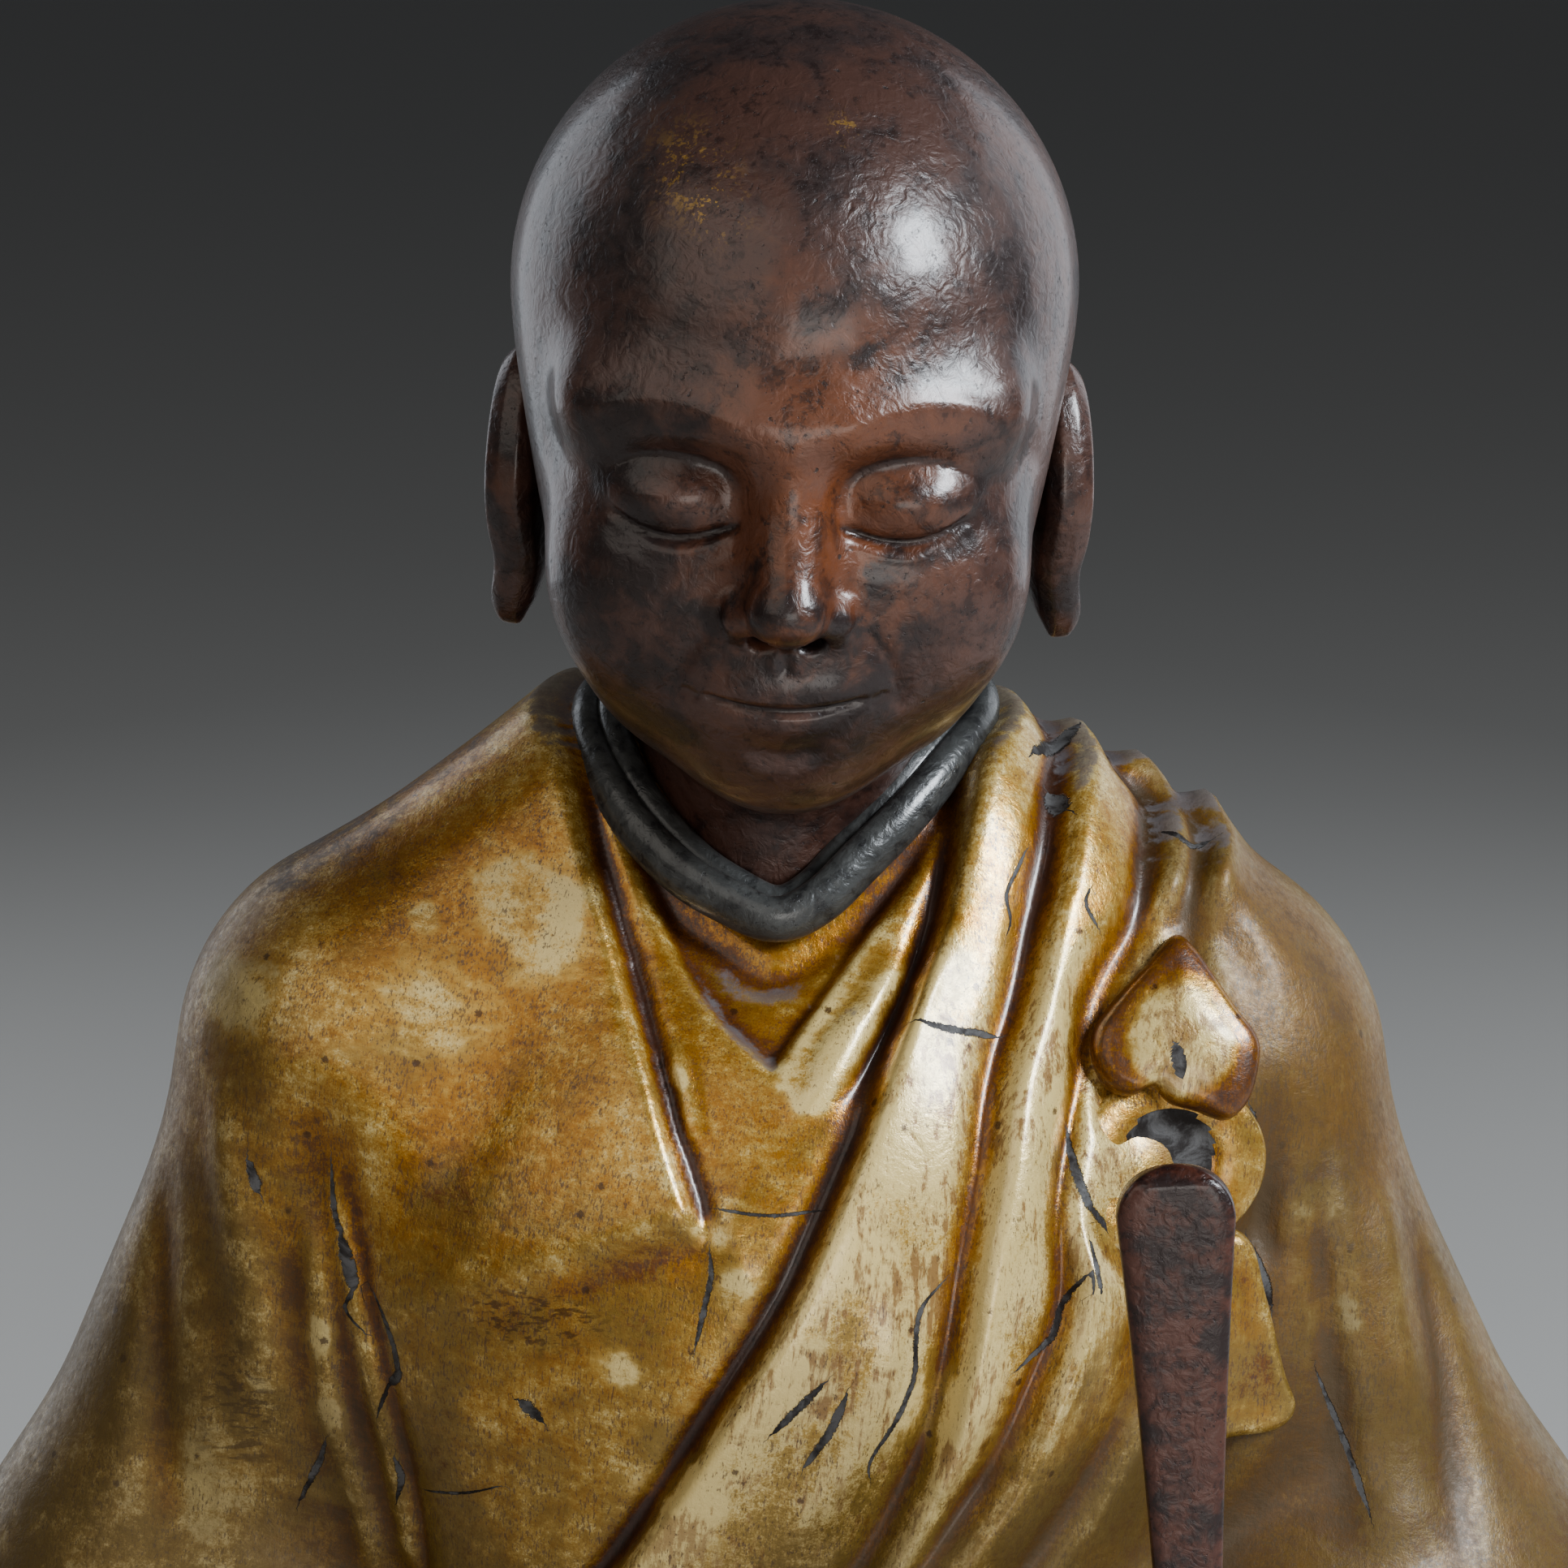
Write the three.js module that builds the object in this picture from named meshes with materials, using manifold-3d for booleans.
// A seated monk, carved in wood, lacquered and gilded, on a low moulded base.
// The shaven head is a block of its own, set into the collar of the robed body, and the left
// hand holds a flat staff that slides out upwards.
// Millimetres, +Z up. The figure faces -Y and its left side is +X. The origin is the centre
// of the base's underside.
import * as THREE from "three";
import { mergeVertices } from "three/addons/utils/BufferGeometryUtils.js";
import Module from "manifold-3d";

const wasm = await Module();
wasm.setup();

// Driving dimensions
const BASE = { width: 436, depth: 314, height: 48, corner: 72 };
const SEAT_BACK = 38; // how far the body's own axis stands behind the base's centre
const HEAD = { width: 104, depth: 116, height: 136, bow: 12, lean: 1.5 }; // bow and lean in degrees
const HEAD_CENTRE = [1, -24, 418];
const NECK = { radius: 28, foot: -122 }; // the foot is below the head's centre
const STAFF = { top: 292, foot: 112, topWidth: 21, gripWidth: 9.5, thickness: 7, lean: 2.6 };
const GRIP = [74, -106, 150]; // where the left hand holds the staff
const CLASP = { x: 72.5, z: 295, width: 33, height: 32, thickness: 7 };
const FIT = 0.3; // the gap left round a piece that sits in another

const degrees = THREE.MathUtils.degToRad;
const smooth = THREE.MathUtils.smoothstep;
const vector = (a) => new THREE.Vector3(...a);

// Forms: each is a function that gives a point's distance outside the form

function ellipsoid([cx, cy, cz], [rx, ry, rz]) {
  return ({ x, y, z }) => {
    const u = (x - cx) / rx;
    const v = (y - cy) / ry;
    const w = (z - cz) / rz;
    const near = Math.hypot(u, v, w);
    return (near * (near - 1)) / (Math.hypot(u / rx, v / ry, w / rz) + 1e-9);
  };
}

// A rounded limb that tapers from radius ra at a to radius rb at b.
function limb(a, b, ra, rb) {
  const from = vector(a);
  const along = vector(b).sub(from);
  const lengthSquared = along.lengthSq();
  const offset = new THREE.Vector3();
  return (p) => {
    offset.subVectors(p, from);
    const t = THREE.MathUtils.clamp(offset.dot(along) / lengthSquared, 0, 1);
    return offset.addScaledVector(along, -t).length() - (ra + (rb - ra) * t);
  };
}

// The two distances' smaller one, with the corner between them rounded over k.
function blend(a, b, k) {
  const h = Math.max(k - Math.abs(a - b), 0) / k;
  return Math.min(a, b) - (h * h * k) / 4;
}

// All the forms as one, each blended into those before it over its own k.
function fuse(forms) {
  return (p) => forms.reduce((d, [form, k]) => blend(d, form(p), k), Infinity);
}

// Cuts a form out of another, with the rim rounded over k.
function hollow(form, cutter, k) {
  return (p) => -blend(-form(p), cutter(p), k);
}

function normalAt(form, p) {
  const step = 0.5;
  const slope = (axis) => {
    const ahead = p.clone();
    const behind = p.clone();
    ahead[axis] += step;
    behind[axis] -= step;
    return form(ahead) - form(behind);
  };
  return new THREE.Vector3(slope("x"), slope("y"), slope("z")).normalize();
}

// The outermost point of the form on the ray from a point inside it.
function castOut(form, origin, direction, reach = 330) {
  const step = 0.75;
  const p = new THREE.Vector3();
  let t = reach;
  for (let i = 0; i < 160; i++) {
    const d = form(p.copy(origin).addScaledVector(direction, t));
    if (d < 0.02) break;
    t -= d * step;
  }
  return p.clone();
}

// Skins: a sphere's grid drawn over a form. place(around, down) gives the ray of a grid point,
// with around from 1 to -1 (0 in front) and down from 0 at the top to 1 at the bottom. The grid
// runs towards -X, so that its diagonals fall from the left shoulder to the right hip, as the
// mantle's folds do, and its faces are turned to match.

function skin(form, columns, rows, place, relief = () => 0) {
  const geometry = new THREE.SphereGeometry(1, columns, rows);
  geometry.index.array.reverse();
  const position = geometry.attributes.position;
  for (let row = 0; row <= rows; row++) {
    for (let column = 0; column <= columns; column++) {
      const around = column === columns ? 1 : 1 - (2 * column) / columns;
      const { origin, direction } = place(around, row / rows);
      const p = castOut(form, origin, direction);
      const normal = normalAt(form, p);
      p.addScaledVector(normal, relief(p, normal));
      if (Math.abs(p.z) < 0.05) p.z = 0;
      position.setXYZ(row * (columns + 1) + column, p.x, p.y, p.z);
    }
  }
  return geometry;
}

// Turns a place round the form, from -1 to 1, into an angle from the front. crowding under 1
// sets the columns closer together in front.
const angleRound = (around, crowding) => Math.PI * around * (crowding + (1 - crowding) * around * around);

function solidOf(geometry) {
  const bare = geometry.clone();
  bare.deleteAttribute("normal");
  bare.deleteAttribute("uv");
  const merged = mergeVertices(bare, 1e-3);
  const made = new wasm.Manifold(
    new wasm.Mesh({
      numProp: 3,
      vertProperties: merged.attributes.position.array,
      triVerts: new Uint32Array(merged.index.array),
    }),
  );
  return made;
}

// All the geometries joined to one solid, and to start where it is given.
const join = (geometries, start) =>
  geometries.map(solidOf).reduce((made, next) => (made ? made.add(next) : next), start);

function geometryOf(solid) {
  const mesh = solid.getMesh();
  return new THREE.BufferGeometry()
    .setAttribute("position", new THREE.BufferAttribute(new Float32Array(mesh.vertProperties), 3))
    .setIndex(new THREE.BufferAttribute(new Uint32Array(mesh.triVerts), 1));
}

// The robed body

const both = (make) => [make(1), make(-1)];

const CUFFS = [
  { elbow: [124, 14, 160], end: [94, -58, 150], radius: 26 },
  { elbow: [-124, 14, 160], end: [-98, -56, 130], radius: 25 },
];

const bodyForm = fuse([
  [ellipsoid([0, 12, 60], [125, 92, 70]), 1], // hips
  [ellipsoid([0, 4, 136], [96, 70, 92]), 30], // belly
  [ellipsoid([0, -3, 240], [92, 60, 82]), 30], // chest
  [ellipsoid([-2, 22, 328], [34, 24, 28]), 22], // nape
  [limb([22, 8, 322], [77, 6, 291], 30, 31), 24], // left shoulder
  [limb([-24, 10, 326], [-78, 6, 293], 31, 31), 24], // right shoulder, a little higher
  ...both((side) => [limb([side * 52, 24, 262], [side * 78, 30, 130], 30, 48), 30]), // robe behind the arms
  [limb([81, 6, 272], [122, 12, 168], 31, 38), 26], // left upper arm
  [limb([-82, 6, 276], [-122, 12, 168], 32, 38), 26], // right upper arm
  ...CUFFS.map(({ elbow, end, radius }) => [limb(elbow, end, 36, radius), 30]), // forearms
  ...both((side) => [limb([side * 112, 2, 118], [side * 98, -54, 100], 42, 32), 30]), // hanging sleeves
  ...both((side) => [limb([side * 60, 10, 50], [side * 144, -76, 46], 48, 45), 30]), // thighs
  ...both((side) => [limb([side * 144, -84, 40], [side * -20, -122, 34], 38, 32), 20]), // crossed shins
  ...both((side) => [ellipsoid([side * 146, -10, 58], [44, 76, 58]), 34]), // sleeves beside the thighs
  [ellipsoid([0, -38, 8], [194, 124, 24]), 16], // hem of the robe on the seat
]);
const robedForm = (p) => Math.max(bodyForm(p), -p.z);

// Hoops round the robe from the top down: height, the hoop's centre in Y, its half widths, the
// height and place in Y of the point that its rays leave, and the rows down to the next hoop.
const HOOPS = [
  { z: 366, y: 6, rx: 2, ry: 2, fromZ: 305, fromY: 6, rows: 1 },
  { z: 358, y: 6, rx: 36, ry: 30, fromZ: 303, fromY: 6, rows: 4 },
  { z: 324, y: 4, rx: 88, ry: 46, fromZ: 296, fromY: 5, rows: 3 },
  { z: 298, y: 2, rx: 116, ry: 54, fromZ: 290, fromY: 4, rows: 17 },
  { z: 158, y: -8, rx: 158, ry: 80, fromZ: 152, fromY: 0, rows: 4 },
  { z: 98, y: -10, rx: 156, ry: 86, fromZ: 66, fromY: -6, rows: 3 },
  { z: 74, y: -36, rx: 178, ry: 116, fromZ: 46, fromY: -30, rows: 4 },
  { z: 30, y: -38, rx: 196, ry: 128, fromZ: 30, fromY: -38, rows: 3 },
  { z: 0, y: -38, rx: 190, ry: 124, fromZ: 0, fromY: -38, rows: 1 },
  { z: 0, y: -38, rx: 1, ry: 1, fromZ: 0, fromY: -38, rows: 0 },
];
const ROBE_COLUMNS = 50;
const ROBE_ROWS = HOOPS.reduce((sum, hoop) => sum + hoop.rows, 0);

function hoopAt(down) {
  let row = down * ROBE_ROWS;
  let i = 0;
  while (i < HOOPS.length - 2 && row > HOOPS[i].rows) {
    row -= HOOPS[i].rows;
    i += 1;
  }
  const share = row / HOOPS[i].rows;
  const mix = (key) => [key, THREE.MathUtils.lerp(HOOPS[i][key], HOOPS[i + 1][key], share)];
  return Object.fromEntries(["z", "y", "rx", "ry", "fromZ", "fromY"].map(mix));
}

function robeRay(around, down) {
  const angle = angleRound(around, 0.55);
  const hoop = hoopAt(down);
  const origin = new THREE.Vector3(0, hoop.fromY, hoop.fromZ);
  const target = new THREE.Vector3(hoop.rx * Math.sin(angle), hoop.y - hoop.ry * Math.cos(angle), hoop.z);
  if (down === 0 || down === 1) target.set(0, hoop.fromY, hoop.z + (down === 0 ? 0 : -1));
  return { origin, direction: target.sub(origin).normalize() };
}

// Points on the cloth: seen from in front at x and z, and the nearest one to any point.

function onFront([x, z]) {
  return castOut(robedForm, new THREE.Vector3(x, 20, z), new THREE.Vector3(0, -1, 0));
}

function onCloth(point) {
  const p = vector(point);
  for (let i = 0; i < 8; i++) p.addScaledVector(normalAt(robedForm, p), -robedForm(p));
  return p;
}

// A route holds points of the front, as [x, z], and points in space, as [x, y, z].
function route(points, count) {
  const placed = points.map((point) => (point.length === 2 ? onFront(point) : onCloth(point)));
  return new THREE.CatmullRomCurve3(placed, false, "centripetal").getSpacedPoints(count);
}

// A fold's height at a point near its run: full along the middle, dying away at both ends, and
// steeper on the left of the run, looking in from outside, where steep is under 1. A valley is a
// fold of negative height.
function fold({ run, height, width, steep = 1 }) {
  const points = route(run, 24);
  const box = new THREE.Box3().setFromPoints(points).expandByScalar(2 * width);
  const chord = new THREE.Line3();
  const nearest = new THREE.Vector3();
  return (p, normal) => {
    if (!box.containsPoint(p)) return 0;
    let distance = Infinity;
    let place = 0;
    let left = false;
    for (let i = 0; i + 1 < points.length; i++) {
      const t = chord.set(points[i], points[i + 1]).closestPointToPointParameter(p, true);
      const d = chord.at(t, nearest).distanceTo(p);
      if (d >= distance) continue;
      distance = d;
      place = (i + t) / (points.length - 1);
      left = nearest.sub(p).cross(chord.delta(new THREE.Vector3())).dot(normal) > 0;
    }
    const ends = smooth(place, 0, 0.15) * (1 - smooth(place, 0.85, 1));
    return height * ends * Math.exp(-((distance / (left ? width * steep : width)) ** 2));
  };
}

// A flat band laid along a route on the cloth, standing height proud of it and width wide.
function band({ run, width, height, steps = 11 }) {
  const points = route(run, steps);
  const geometry = new THREE.CylinderGeometry(1, 1, 1, 6, steps);
  const position = geometry.attributes.position;
  for (let i = 0; i < position.count; i++) {
    const step = Math.round((position.getY(i) + 0.5) * steps);
    const normal = normalAt(robedForm, points[step]);
    const along = points[Math.min(step + 1, steps)].clone().sub(points[Math.max(step - 1, 0)]).normalize();
    const across = new THREE.Vector3().crossVectors(along, normal).normalize();
    const lift = position.getZ(i) > 0 ? height : 2.2 * height; // the hidden side is sunk deep
    const p = points[step]
      .clone()
      .addScaledVector(across, (position.getX(i) * width) / 2)
      .addScaledVector(normal, position.getZ(i) * lift);
    position.setXYZ(i, p.x, p.y, p.z);
  }
  return geometry;
}

const count = (number) => [...Array(number).keys()];

// The mantle's pleats fan from the left shoulder down to the right hip.
const MANTLE_PLEATS = count(4).map((n) => ({
  height: 6,
  width: 6.5,
  run: [
    [38 + 16 * n, 26, 348 - 7 * n],
    [40 + 16 * n, 2, 345 - 6 * n],
    [36 + 17 * n, 318 - 2 * n],
    [30 + 19 * n, 303 - 2 * n],
    [24 + 21 * n, 287 - 4 * n],
    [15 + 25 * n, 266 - 6 * n],
    [2 + 29 * n, 236 - 8 * n],
    [-16 + 31 * n, 206 - 9 * n],
    [-42 + 32 * n, 172 - 9 * n],
  ],
}));

// Folds that hang in curves across the lap, from knee to knee.
const LAP_FOLDS = count(3).map((n) => ({
  height: 7,
  width: 9,
  run: [
    [-162 + 8 * n, -78 - 15 * n, 82 - 18 * n],
    [-78, -124 - 12 * n, 78 - 24 * n],
    [0, -134 - 12 * n, 64 - 22 * n],
    [78, -124 - 12 * n, 78 - 24 * n],
    [162 - 8 * n, -78 - 15 * n, 82 - 18 * n],
  ],
}));

// Folds of the back, hanging from the left shoulder.
const BACK_FOLDS = count(4).map((n) => ({
  height: 6,
  width: 12,
  run: [
    [70 - 4 * n, 36, 320 - 5 * n],
    [58 - 20 * n, 58, 250 - 6 * n],
    [30 - 28 * n, 66, 170 - 8 * n],
    [-4 - 34 * n, 88, 90 - 12 * n],
    [-20 - 38 * n, 100, 34],
  ],
}));

// Folds of the sleeves spread beside the thighs.
const THIGH_FOLDS = both((side) => side).flatMap((side) =>
  count(3).map((n) => ({
    height: 6,
    width: 11,
    run: [
      [side * (152 + 4 * n), 34 - 40 * n, 118 - 12 * n],
      [side * 180, 26 - 42 * n, 78],
      [side * 190, 16 - 44 * n, 14],
    ],
  })),
);

// Folds run down each upper arm to the bend of the elbow.
const SLEEVE_FOLDS = both((side) => side).flatMap((side) =>
  count(4).map((n) => ({
    height: -5,
    width: 7,
    run: [
      [side * (94 + 9 * n), -34 + 12 * n, 276 - 8 * n],
      [side * (101 + 11 * n), -36 + 13 * n, 232 - 4 * n],
      [side * (104 + 15 * n), -36 + 15 * n, 190 - 2 * n],
      [side * (106 + 17 * n), -44 + 20 * n, 150 - 6 * n],
    ],
  })),
);

// The hollow between each arm and the chest.
const ARM_GROOVES = both((side) => ({
  height: -9,
  width: 8,
  run: [
    [side * 87, 290],
    [side * 84, 255],
    [side * 79, 220],
    [side * 72, 188],
    [side * 66, 156],
  ],
}));

const FOLDS = [
  ...MANTLE_PLEATS,
  ...LAP_FOLDS,
  ...BACK_FOLDS,
  ...THIGH_FOLDS,
  ...SLEEVE_FOLDS,
  ...ARM_GROOVES,
].map(fold);

// The folds' height at a point of the cloth. They die away at the seat.
function drapery(p, normal) {
  return smooth(p.z, 0, 16) * FOLDS.reduce((sum, height) => sum + height(p, normal), 0);
}

const EDGES = [
  // right lapel
  {
    run: [[-36, 28, 350], [-40, 2, 345], [-37, 330], [-31, 311], [-24, 290], [-15, 265]],
    width: 8,
    height: 4.5,
  },
  // the mantle's edge in front
  {
    run: [
      [36, 28, 350],
      [39, 4, 347],
      [35, 330],
      [26, 303],
      [11, 269],
      [-9, 232],
      [-30, 198],
      [-50, 174],
      [-74, 150],
    ],
    width: 9,
    height: 6,
    steps: 14,
  },
  // and over the back
  {
    run: [[40, 14, 350], [24, 42, 330], [-6, 58, 290], [-44, 66, 240], [-84, 60, 196]],
    width: 9,
    height: 5,
  },
  // the inner robe's crossed edges
  { run: [[-31, 331], [-25, 320], [-12, 301], [-3, 290]], width: 6, height: 3.5, steps: 6 },
  { run: [[31, 336], [25, 326], [16, 316], [5, 303], [-3, 293]], width: 7, height: 4.5, steps: 6 },
  // the round collar, in two halves
  ...both((side) => ({
    run: [
      [-3, 44, 346],
      [side * 25 - 3, 32, 350],
      [side * 37 - 1, 6, 350],
      [side * 31 - 2, -14, 338],
      [side * 14 - 3, -24, 323],
      [-3, -27, 317],
    ],
    width: 9,
    height: 5.5,
    steps: 10,
  })),
];

// The mouth of a sleeve: a hollow round the wrist, which hangs lower than it.
function cuffHollow({ elbow, end, radius }) {
  const forward = vector(end).sub(vector(elbow)).setZ(0).normalize();
  return new THREE.SphereGeometry(1, 12, 8)
    .rotateX(Math.PI / 2)
    .scale(radius - 7, 22, radius + 9)
    .rotateZ(Math.atan2(forward.x, -forward.y))
    .translate(end[0] + forward.x * radius, end[1] + forward.y * radius, end[2] - 12);
}

// The clasp: a heart with its point up, a ring behind its foot and a flared tab below.

function heartShape(width, height) {
  const w = width / 2;
  const shape = new THREE.Shape();
  shape.moveTo(0, height * 0.56);
  shape.bezierCurveTo(w * 0.5, height * 0.3, w, height * 0.12, w, -height * 0.12);
  shape.bezierCurveTo(w, -height * 0.42, w * 0.3, -height * 0.56, 0, -height * 0.32);
  shape.bezierCurveTo(-w * 0.3, -height * 0.56, -w, -height * 0.42, -w, -height * 0.12);
  shape.bezierCurveTo(-w, height * 0.12, -w * 0.5, height * 0.3, 0, height * 0.56);
  return shape;
}

function tabShape(width, height) {
  const shape = new THREE.Shape();
  shape.moveTo(-width * 0.3, height / 2);
  shape.lineTo(width * 0.3, height / 2);
  shape.quadraticCurveTo(width * 0.36, 0, width / 2, -height * 0.38);
  shape.quadraticCurveTo(width * 0.45, -height / 2, width * 0.3, -height / 2);
  shape.lineTo(-width * 0.4, -height / 2);
  shape.quadraticCurveTo(-width * 0.42, 0, -width * 0.3, height / 2);
  return shape;
}

// A thick plate with rounded edges, laid on the cloth at a point of the front.
function applied(shape, [x, z], thickness, proud) {
  const bevel = { bevelThickness: 2, bevelSize: 1.5, bevelOffset: -1.5, bevelSegments: 2 };
  const geometry = new THREE.ExtrudeGeometry(shape, { depth: thickness, curveSegments: 5, ...bevel });
  const seat = onFront([x, z]);
  const normal = normalAt(robedForm, seat);
  const up = new THREE.Vector3(0, 0, 1).addScaledVector(normal, -normal.z).normalize();
  const frame = new THREE.Matrix4().makeBasis(new THREE.Vector3().crossVectors(up, normal), up, normal);
  geometry.translate(0, 0, proud - thickness - 2).applyMatrix4(frame);
  return geometry.translate(seat.x, seat.y, seat.z);
}

function clasp() {
  const { x, z, width, height, thickness } = CLASP;
  const ring = new THREE.Shape();
  ring.absellipse(0, 0, width * 0.6, height * 0.56, 0, 2 * Math.PI);
  return [
    applied(heartShape(width, height), [x, z], thickness, 8.5),
    applied(ring, [x - 2, z - 0.76 * height], thickness, 4.5),
    applied(tabShape(0.95 * width, 1.25 * height), [x + 5, z - 1.9 * height], thickness, 4),
  ];
}

// The hands: the left closed round the staff, the right laid on the thigh

// A rounded rod along a smooth path, with its own radius at each end.
function finger(points, ra, rb, segments = 4) {
  const path = new THREE.CatmullRomCurve3(points.map(vector));
  const geometry = new THREE.CapsuleGeometry(1, 2, 1, 6, segments);
  const position = geometry.attributes.position;
  const upright = new THREE.Vector3(0, 0, 1);
  for (let i = 0; i < position.count; i++) {
    const y = position.getY(i);
    const share = THREE.MathUtils.clamp((y + 1) / 2, 0, 1);
    const radius = ra + (rb - ra) * share;
    const tangent = path.getTangent(share);
    const side = new THREE.Vector3().crossVectors(upright, tangent).normalize();
    const lift = new THREE.Vector3().crossVectors(tangent, side);
    const p = path
      .getPoint(share)
      .addScaledVector(tangent, (y - THREE.MathUtils.clamp(y, -1, 1)) * radius)
      .addScaledVector(side, position.getX(i) * radius)
      .addScaledVector(lift, -position.getZ(i) * radius);
    position.setXYZ(i, p.x, p.y, p.z);
  }
  return geometry;
}

// A sphere stretched to three half widths.
function knob(centre, radii, columns = 10, rows = 6) {
  const geometry = new THREE.SphereGeometry(1, columns, rows).rotateX(Math.PI / 2);
  return geometry.scale(...radii).translate(...centre);
}

function leftHand() {
  const [x, y, z] = GRIP;
  const fingers = [0, 1, 2, 3].map((n) => {
    const level = z + 13 - 8.4 * n;
    return finger(
      [
        [x + 14, y + 14, level],
        [x + 13, y - 3, level],
        [x + 3, y - 10, level],
        [x - 8, y - 6, level],
        [x - 9, y + 4, level],
      ],
      5,
      4.4,
      6,
    );
  });
  const thumb = finger(
    [
      [x - 4, y + 16, z + 18],
      [x - 10, y + 3, z + 22],
      [x - 3, y - 9, z + 23],
    ],
    5.4,
    4.4,
  );
  const wrist = finger([[x + 20, y + 52, z], [x + 10, y + 30, z], [x + 5, y + 17, z]], 13, 14, 2);
  return [wrist, knob([x + 4, y + 15, z], [15, 13, 19]), ...fingers, thumb];
}

function rightHand() {
  const fingers = [0, 1, 2, 3].map((n) => {
    const x = -102 + 9.4 * n;
    const reach = 4 * Math.sin((Math.PI * (n + 0.6)) / 4);
    return finger(
      [
        [x, -104, 105],
        [x + 1 - 0.5 * n, -124 - reach, 101],
        [x + 2 - n, -146 - reach, 82],
      ],
      5.4,
      4.4,
    );
  });
  const thumb = finger(
    [
      [-70, -86, 108],
      [-60, -103, 101],
      [-58, -122, 92],
    ],
    6.5,
    4.8,
  );
  const wrist = finger([[-98, -40, 124], [-92, -68, 116], [-88, -86, 110]], 14, 13, 2);
  return [wrist, knob([-87, -94, 107], [20, 22, 11]), ...fingers, thumb];
}

// The staff: a flat lacquered blade, round at its top and narrowing to the grip

function staffGeometry(extra = 0) {
  const { top, foot, topWidth, gripWidth, thickness, lean } = STAFF;
  const w = topWidth / 2 + extra;
  const g = gripWidth / 2 + extra;
  const high = top - GRIP[2] + extra;
  const low = foot - GRIP[2] - extra;
  const blade = new THREE.Shape();
  blade.moveTo(-g, low);
  blade.lineTo(g, low);
  blade.lineTo(g, 25);
  blade.quadraticCurveTo(g + 1.5, high - 60, w, high - 0.9 * w);
  blade.bezierCurveTo(w, high - 0.25 * w, 0.6 * w, high, 0, high);
  blade.bezierCurveTo(-0.6 * w, high, -w, high - 0.25 * w, -w, high - 0.9 * w);
  blade.quadraticCurveTo(-g - 1.5, high - 60, -g, 25);
  const edge = { bevelThickness: 1.6, bevelSize: 1.6, bevelOffset: -1.6, bevelSegments: 2 };
  const depth = thickness + 2 * extra - 2 * edge.bevelThickness;
  return new THREE.ExtrudeGeometry(blade, { depth, curveSegments: 6, ...edge })
    .translate(0, 0, -depth / 2)
    .rotateX(Math.PI / 2)
    .rotateY(degrees(-lean))
    .translate(...GRIP);
}

// The head, in a frame of its own: centre at the origin, face to -Y, crown up

const headForm = (() => {
  const w = HEAD.width / 2;
  const h = HEAD.height / 2;
  const d = HEAD.depth / 2;
  const face = fuse([
    [ellipsoid([0, 6, 17], [w, d, h - 17]), 1], // skull
    [ellipsoid([0, -10, -20], [0.85 * w, 0.77 * d, 0.7 * h]), 18], // middle of the face
    [ellipsoid([0, -15, -42], [34, 34, 25]), 18], // jaw
    [ellipsoid([0, -38, -56], [13, 12, 11]), 14], // chin
    ...both((side) => [ellipsoid([side * 24, -35, -25], [17, 15, 19]), 14]), // cheeks
    ...both((side) => [limb([side * 8, -49, 8], [side * 34, -37, 9], 5, 5), 14]), // brows
    [limb([0, 14, -20], [0, 6, NECK.foot - 10], NECK.radius - 2, NECK.radius), 16], // neck
  ]);
  const sockets = both((side) => ellipsoid([side * 19, -59, -2.5], [14.5, 12, 7]));
  const features = fuse([
    [sockets.reduce((form, socket) => hollow(form, socket, 10), face), 1],
    ...both((side) => [ellipsoid([side * 19.5, -42, -5], [13, 10.5, 8]), 4]), // lowered lids
    [ellipsoid([0, -42, -39], [18, 12.5, 13]), 12], // round of the mouth
    [limb([0, -48, 5], [0, -59.5, -20], 4.6, 6), 8], // nose
    [ellipsoid([0, -60.5, -22], [6.4, 5.6, 5]), 4], // its tip
    ...both((side) => [ellipsoid([side * 7.6, -53.5, -24.5], [4.8, 5.6, 4.2]), 3.5]), // nostrils
    [ellipsoid([0, -52, -38], [14, 5.4, 3.4]), 3], // upper lip
    [ellipsoid([0, -51.2, -43.8], [10.5, 5.2, 3.5]), 2.5], // lower lip
  ]);
  return (p) => Math.max(features(p), NECK.foot - p.z);
})();

// Rays of the head and neck, closer together over the face.
function headRay(around, down) {
  const angle = angleRound(around, 0.42);
  const fromTop = Math.PI * (down + 0.04 * Math.sin(2 * Math.PI * down));
  const direction = new THREE.Vector3(
    Math.sin(angle) * Math.sin(fromTop),
    -Math.cos(angle) * Math.sin(fromTop),
    Math.cos(fromTop),
  );
  return { origin: new THREE.Vector3(0, 12, -30), direction };
}

// An ear as a sphere's grid laid flat: how far out each place of its face stands.
const EAR = { width: 13, height: 27, thickness: 5, sunk: 3.5, y: 8, z: -25 };
const EAR_TURN = { flare: 16, lean: -7 }; // in degrees

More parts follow.
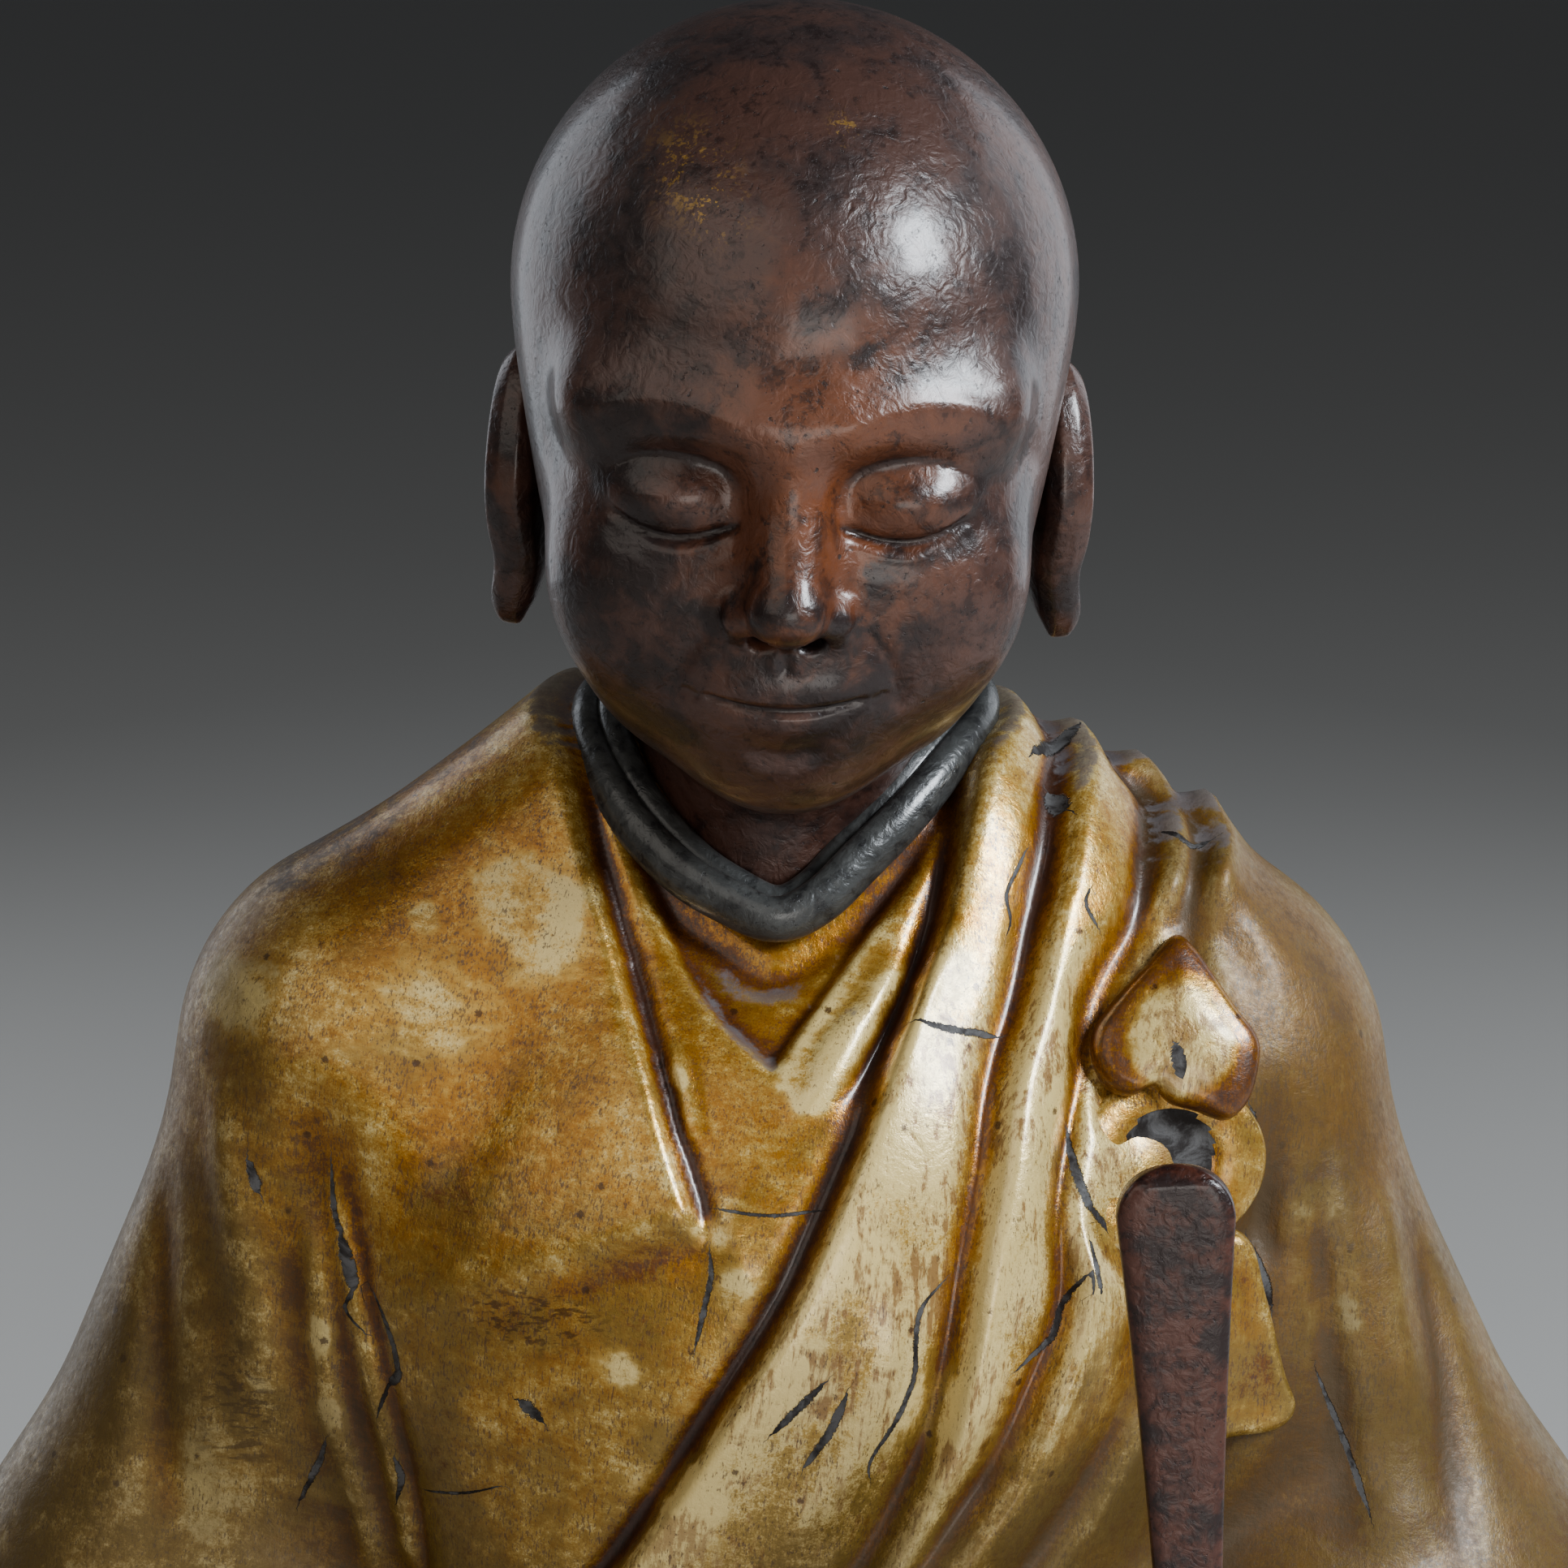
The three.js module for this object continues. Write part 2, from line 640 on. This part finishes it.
function earGeometry(side) {
  const geometry = new THREE.SphereGeometry(1, 12, 6).rotateY(Math.PI / 12).rotateZ(-Math.PI / 2);
  const position = geometry.attributes.position;
  for (let i = 0; i < position.count; i++) {
    const up = position.getY(i);
    const narrow = THREE.MathUtils.lerp(0.6, 1, smooth(up, -0.7, 0.1));
    const rim = Math.hypot(position.getZ(i), up);
    const dish = position.getX(i) > 0 ? -3.4 * (1 - smooth(rim, 0.35, 0.8)) * smooth(up, -0.6, -0.1) : 0;
    const lobe = 2.6 * (1 - smooth(up, -0.95, -0.45));
    position.setXYZ(
      i,
      side * (position.getX(i) * EAR.thickness + dish + lobe),
      -side * position.getZ(i) * EAR.width * narrow,
      up * EAR.height,
    );
  }
  return geometry
    .rotateZ(degrees(side * EAR_TURN.flare))
    .rotateX(degrees(EAR_TURN.lean))
    .translate(side * (HEAD.width / 2 - EAR.sunk), EAR.y, EAR.z);
}

// Places something made in the head's own frame on the figure.
const bowed = (geometry) =>
  geometry.rotateX(degrees(HEAD.bow)).rotateY(degrees(HEAD.lean)).translate(...HEAD_CENTRE);

// The hollow of the body that the neck stands in.
function neckHole() {
  const depth = 90;
  const hole = new THREE.CylinderGeometry(NECK.radius + 5, NECK.radius + 1, depth, 16).rotateX(Math.PI / 2);
  return bowed(hole.translate(0, 7, NECK.foot - FIT + depth / 2));
}

// The base: a low platform turned in profile, with its corners rounded

// The outline of its side from the underside up, as [inset, height].
const BASE_PROFILE = [
  [6, 0],
  [1, 1.5],
  [0, 6],
  [1, 11],
  [6, 13],
  [10, 17],
  [15, 19],
  [15, 31],
  [10, 33],
  [8, 36],
  [3, 37.5],
  [2, 44],
  [6, 48],
];

function baseGeometry() {
  const { width, depth, corner } = BASE;
  const perCorner = 5;
  const half = Math.PI / (4 * perCorner);
  const profile = BASE_PROFILE.map(([inset, z]) => new THREE.Vector2(corner - inset, z));
  const outline = [new THREE.Vector2(0, 0), ...profile, new THREE.Vector2(0, BASE.height)];
  const geometry = new THREE.LatheGeometry(outline, 4 * perCorner, half).rotateX(Math.PI / 2);
  const position = geometry.attributes.position;
  for (let i = 0; i < position.count; i++) {
    const x = position.getX(i);
    const y = position.getY(i);
    if (Math.hypot(x, y) < 1) continue;
    position.setX(i, x / Math.cos(half) + Math.sign(x) * (width / 2 - corner));
    position.setY(i, y / Math.cos(half) + Math.sign(y) * (depth / 2 - corner));
  }
  return geometry;
}

// Materials and assembly

const gilding = new THREE.MeshStandardMaterial({ color: 0xb08a3e, roughness: 0.38, metalness: 0.6 });
const brownLacquer = new THREE.MeshStandardMaterial({ color: 0x4a2414, roughness: 0.25, metalness: 0 });
const redLacquer = new THREE.MeshStandardMaterial({ color: 0x3d1a10, roughness: 0.35, metalness: 0 });
const darkLacquer = new THREE.MeshStandardMaterial({ color: 0x33190f, roughness: 0.4, metalness: 0 });

function named(name, solid, material) {
  const mesh = new THREE.Mesh(geometryOf(solid), material);
  mesh.name = name;
  return mesh;
}

const headBlock = join([skin(headForm, 28, 24, headRay), ...both(earGeometry)].map(bowed));

const robe = solidOf(skin(robedForm, ROBE_COLUMNS, ROBE_ROWS, robeRay, drapery));
const opened = CUFFS.map(cuffHollow).map(solidOf).reduce((made, mouth) => made.subtract(mouth), robe);
const carved = join([...EDGES.map(band), ...clasp(), ...leftHand(), ...rightHand()], opened);
const bodyBlock = carved.subtract(solidOf(neckHole())).subtract(solidOf(staffGeometry(FIT)));

const figure = new THREE.Group();
figure.position.set(0, SEAT_BACK, BASE.height);
figure.add(named("robed_body", bodyBlock, gilding));
figure.add(named("head", headBlock, brownLacquer));
figure.add(named("staff", solidOf(staffGeometry()), redLacquer));

const statue = new THREE.Group();
statue.add(named("base", solidOf(baseGeometry()), darkLacquer));
statue.add(figure);

export default statue;
